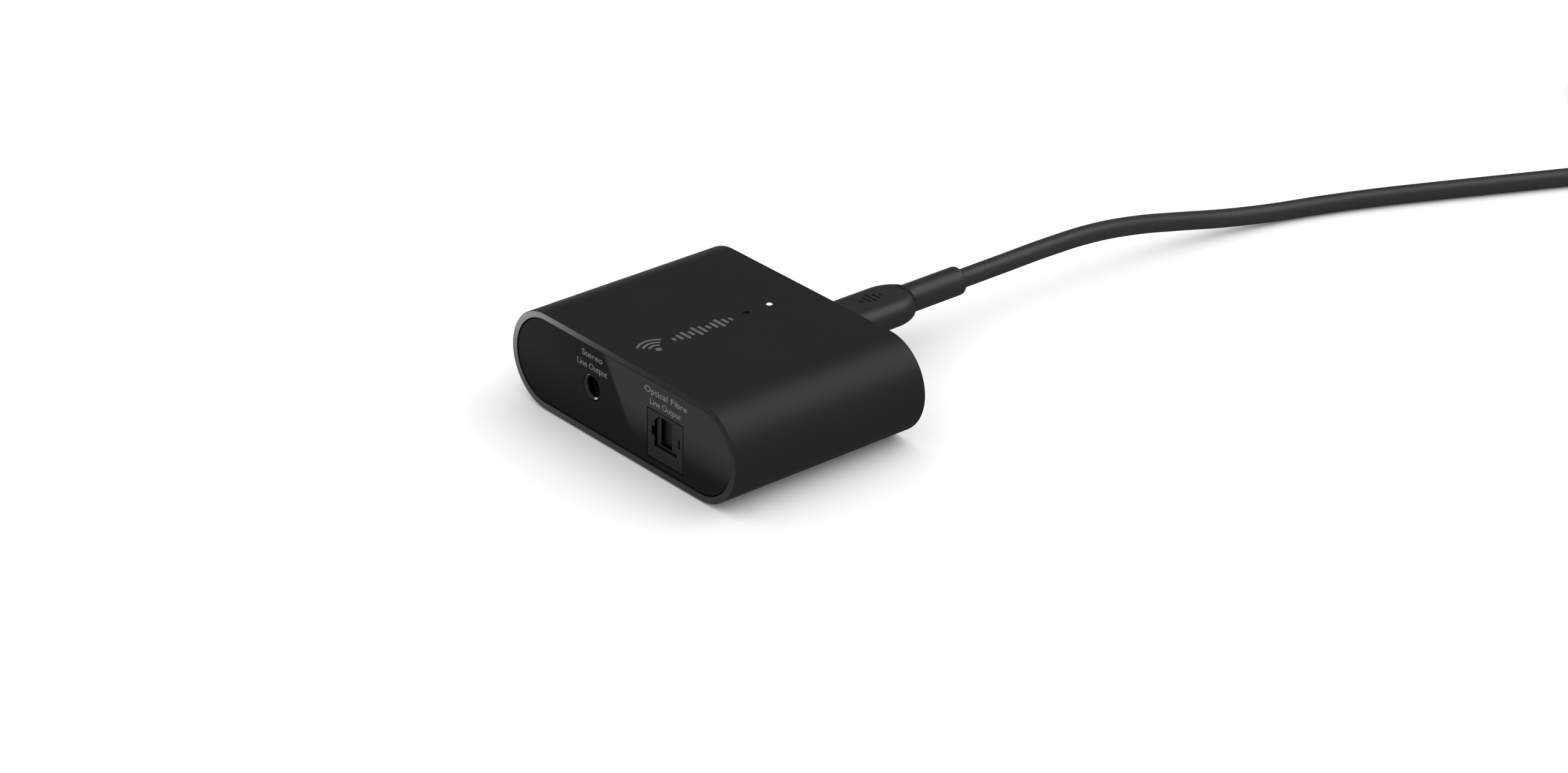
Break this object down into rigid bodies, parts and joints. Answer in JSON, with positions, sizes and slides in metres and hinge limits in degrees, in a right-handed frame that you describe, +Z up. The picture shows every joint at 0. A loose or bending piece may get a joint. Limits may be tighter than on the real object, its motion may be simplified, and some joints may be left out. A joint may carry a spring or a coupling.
{
  "type": "wireless audio receiver",
  "caption": "Small flat receiver with round sides, a line-out jack, a shuttered optical output, a status light, a recessed reset button and a plugged-in power lead.",
  "frame": {"origin": "under the middle of the housing, on the plane its rubber foot stands on", "axes": "+X along the width, to the right of someone facing the port panel; -Y out of the port panel, +Y out of the back where the power lead leaves; +Z up"},
  "size_m": [0.0927, 0.3262, 0.02],
  "materials": {
    "shell_black": "fine satin moulded black",
    "panel_black": "gloss black",
    "port_black": "satin black moulding",
    "lead_black": "soft satin black jacket",
    "grip_black": "satin black overmould",
    "foot_rubber": "matte black rubber",
    "tie_black": "woven hook and loop",
    "nickel": "nickel plate",
    "steel": "stainless spring steel",
    "gold_contact": "gold-flashed contact",
    "board_green": "solder mask",
    "chip_black": "moulded chip package",
    "chip_ceramic": "unglazed ceramic",
    "can_metal": "tin-plated steel can",
    "tray_grey": "glass-filled nylon",
    "light_clear": "frosted clear polycarbonate",
    "lens_clear": "clear lens",
    "led_white": "phosphor"
  },
  "bodies": {
    "receiver": {"housing_sleeve": "shell_black", "rubber_foot_pad": "foot_rubber", "front_panel": "panel_black", "rear_panel": "panel_black", "inner_tray": "tray_grey", "main_board": "board_green", "board_screw_1": "steel", "board_screw_2": "steel", "board_screw_3": "steel", "board_screw_4": "steel", "audio_jack_body": "port_black", "audio_jack_ground_contact": "gold_contact", "audio_jack_ring_contact": "gold_contact", "audio_jack_tip_contact": "gold_contact", "audio_jack_bush": "nickel", "optical_port_housing": "port_black", "shutter_hinge_pin": "steel", "shutter_spring": "steel", "optical_emitter": "chip_black", "optical_emitter_lens": "lens_clear", "optical_emitter_pin_1": "gold_contact", "optical_emitter_pin_2": "gold_contact", "optical_emitter_pin_3": "gold_contact", "usb_inlet_shell": "nickel", "usb_inlet_tongue": "chip_black", "status_led": "led_white", "status_light_pipe": "light_clear", "reset_switch_body": "can_metal", "wireless_module_board": "board_green", "wireless_shield_can": "can_metal", "wireless_chip": "chip_black", "chip_antenna": "chip_ceramic", "audio_processor": "chip_black", "audio_converter": "chip_black", "program_memory": "chip_black", "clock_crystal": "can_metal", "power_regulator": "chip_black", "power_inductor": "chip_black", "filter_capacitor_1": "can_metal", "filter_capacitor_2": "can_metal", "filter_capacitor_3": "can_metal"},
    "reset_button": {"reset_button": "port_black"},
    "shutter": {"optical_port_shutter": "port_black"},
    "power_lead": {"lead_plug_shell": "nickel", "lead_plug_grip": "grip_black", "lead_strain_relief": "grip_black", "power_cord": "lead_black", "power_cord_coil": "lead_black", "cord_tie": "tie_black", "power_cord_tail": "lead_black", "far_strain_relief": "grip_black", "far_plug_grip": "grip_black", "far_plug_shell": "nickel", "far_plug_tongue": "chip_black"}
  },
  "joints": [
    {"name": "reset_press", "type": "slide", "parent": "receiver", "child": "reset_button", "axis": [0, 0, -1], "range_m": [0, 0.00025], "stiffness_N_per_m": 2000, "springref_m": -0.0003},
    {"name": "shutter_swing", "type": "hinge", "parent": "receiver", "child": "shutter", "pos_m": [0.01637, -0.02082, 0.00902], "axis": [0, 0, -1], "range_deg": [0, 88], "stiffness_Nm_per_rad": 0.0003, "springref_deg": -34.38, "deforming": ["shutter_spring"]},
    {"name": "plug_pull", "type": "slide", "parent": "receiver", "child": "power_lead", "axis": [0, 1, 0], "range_m": [0, 0.01]}
  ]
}
